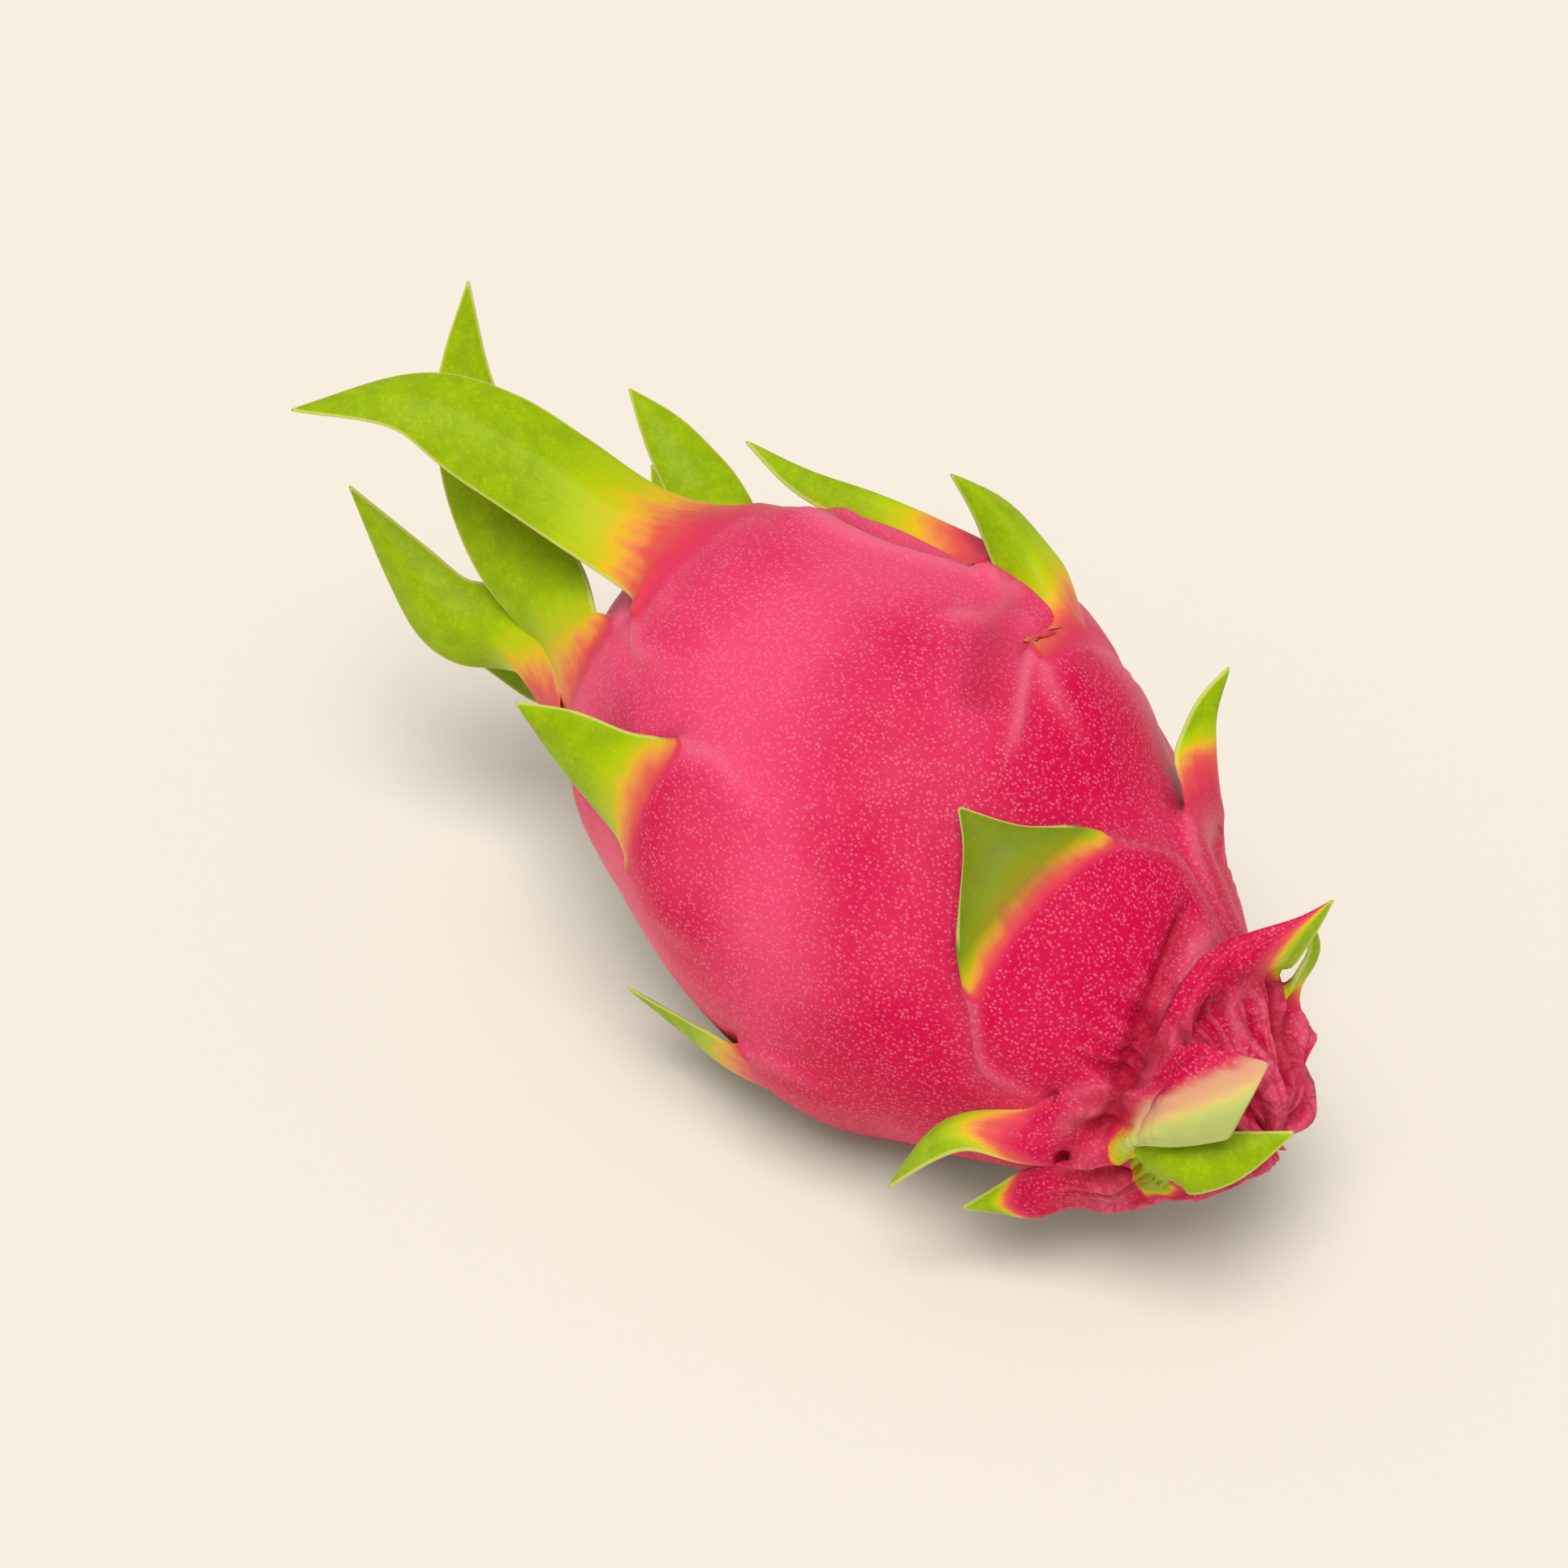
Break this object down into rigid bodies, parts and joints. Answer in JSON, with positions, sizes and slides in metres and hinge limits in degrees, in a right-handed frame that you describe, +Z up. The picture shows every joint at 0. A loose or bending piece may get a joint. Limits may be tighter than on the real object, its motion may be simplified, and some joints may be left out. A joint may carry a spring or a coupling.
{
  "type": "dragon fruit",
  "caption": "Whole ripe dragon fruit with a pink peel and long green-tipped scales, lying on its side on a small flat spot.",
  "frame": {"origin": "on the ground under the middle of the fruit's box", "axes": "+Z up; the fruit's long axis runs along X, with the stem end at +X and the crown of long scales at -X"},
  "size_m": [0.1906, 0.09, 0.0945],
  "materials": {
    "peel": "satin waxy peel, finely speckled, turning yellow and green along the scales"
  },
  "bodies": {
    "root": {"dragon_fruit": "peel"}
  },
  "joints": []
}
